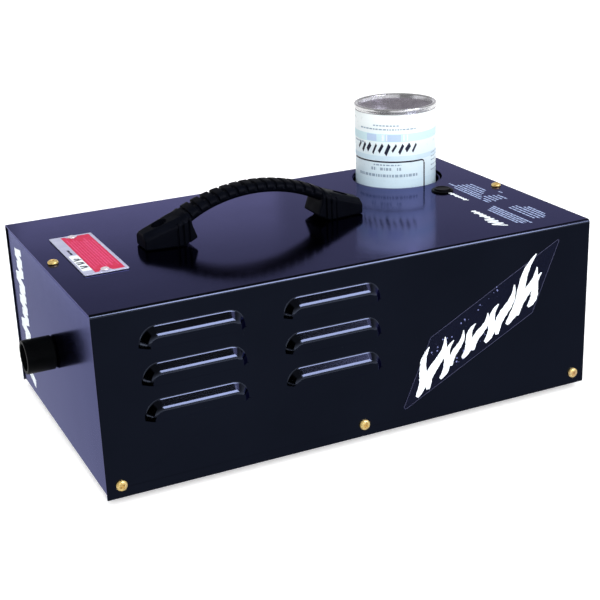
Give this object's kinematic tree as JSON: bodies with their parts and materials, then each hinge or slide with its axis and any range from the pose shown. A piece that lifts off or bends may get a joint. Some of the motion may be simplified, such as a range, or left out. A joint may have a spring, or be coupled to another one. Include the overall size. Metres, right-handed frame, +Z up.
{
  "type": "fog machine",
  "caption": "Portable fog machine: folded steel casing with louvres and a carrying handle, upright fluid can, heater, valve, fog button, outlet nozzle, mains inlet and switch.",
  "frame": {"origin": "middle of the bounding box's footprint, on the surface that the feet stand on", "axes": "+X along the casing from the fog nozzle towards the mains inlet end, -Y is the louvred front, +Z up"},
  "size_m": [0.397, 0.2284, 0.194],
  "materials": {
    "casing_paint": "satin black powder coat with a blue-violet cast",
    "rubber": "matte",
    "yellow_zinc": "yellow-passivated zinc plate",
    "handle_plastic": "fine-grained matte black",
    "plate_print": "silver plate with a red printed panel",
    "bright_steel": "zinc plated",
    "nozzle_plastic": "matte black heat-proof plastic",
    "copper": "drawn copper tube",
    "cast_aluminium": "sand cast",
    "glass_wool": "woven glass mat",
    "ceramic": "unglazed ceramic",
    "brass": "turned",
    "black_plastic": "moulded black",
    "can_paint": "gloss printed tinplate",
    "grey_plastic": "moulded grey",
    "lamp_lens": "moulded amber lens",
    "board_laminate": "solder resist"
  },
  "bodies": {
    "machine": {"base_chassis": "casing_paint", "canister_seal": "rubber", "canister_seat": "brass", "canister_tube": "casing_paint", "control_board": "board_laminate", "cover": "casing_paint", "cover_screw_back_left": "yellow_zinc", "cover_screw_back_middle": "yellow_zinc", "cover_screw_back_right": "yellow_zinc", "cover_screw_front_left": "yellow_zinc", "cover_screw_front_middle": "yellow_zinc", "cover_screw_front_right": "yellow_zinc", "cover_screw_top_left": "yellow_zinc", "cover_screw_top_right": "yellow_zinc", "feed_pipe": "copper", "fog_button_contact": "grey_plastic", "fog_button_housing": "black_plastic", "fog_button_spring": "bright_steel", "foot_back_left": "rubber", "foot_back_right": "rubber", "foot_front_left": "rubber", "foot_front_right": "rubber", "handle": "handle_plastic", "handle_screw_left": "yellow_zinc", "handle_screw_right": "yellow_zinc", "heater_block": "cast_aluminium", "heater_bracket_left": "bright_steel", "heater_bracket_right": "bright_steel", "heater_cartridge": "bright_steel", "heater_jacket": "glass_wool", "heater_lead": "grey_plastic", "inlet_housing": "black_plastic", "inlet_pin_earth": "bright_steel", "inlet_pin_line": "bright_steel", "inlet_pin_neutral": "bright_steel", "inlet_pipe": "copper", "mains_lead": "grey_plastic", "nozzle": "nozzle_plastic", "nozzle_lock_ring": "bright_steel", "outlet_pipe": "copper", "power_switch_body": "black_plastic", "rating_plate": "plate_print", "rating_plate_rivet_back": "bright_steel", "rating_plate_rivet_front": "bright_steel", "ready_lamp": "lamp_lens", "remote_socket": "bright_steel", "terminal_block": "ceramic", "thermal_cutout": "ceramic", "thermostat": "ceramic", "valve_body": "brass", "valve_coil": "black_plastic", "valve_spring": "bright_steel"},
    "canister": {"canister_body": "can_paint", "canister_valve": "bright_steel"},
    "fog_button": {"fog_button": "black_plastic"},
    "fuse_drawer": {"fuse_drawer": "black_plastic", "fuse": "ceramic"},
    "rocker": {"power_switch_rocker": "black_plastic"},
    "plunger": {"valve_plunger": "bright_steel"}
  },
  "joints": [
    {"name": "canister_lift", "type": "slide", "parent": "machine", "child": "canister", "axis": [0, 0, 1], "range_m": [0, 0.13]},
    {"name": "fog_button_press", "type": "slide", "parent": "machine", "child": "fog_button", "axis": [0, 0, -1], "range_m": [0, 0.0025], "stiffness_N_per_m": 600, "springref_m": -0.002, "deforming": ["fog_button_spring"]},
    {"name": "fuse_drawer_slide", "type": "slide", "parent": "machine", "child": "fuse_drawer", "axis": [1, 0, 0], "range_m": [0, 0.022]},
    {"name": "power_rocker", "type": "hinge", "parent": "machine", "child": "rocker", "pos_m": [0.1875, 0.001, 0.055], "axis": [0, -1, 0], "range_deg": [0, 14]},
    {"name": "valve_plunger_lift", "type": "slide", "parent": "machine", "child": "plunger", "axis": [0, 0, 1], "range_m": [0, 0.003], "stiffness_N_per_m": 300, "springref_m": -0.003, "deforming": ["valve_spring"]}
  ]
}
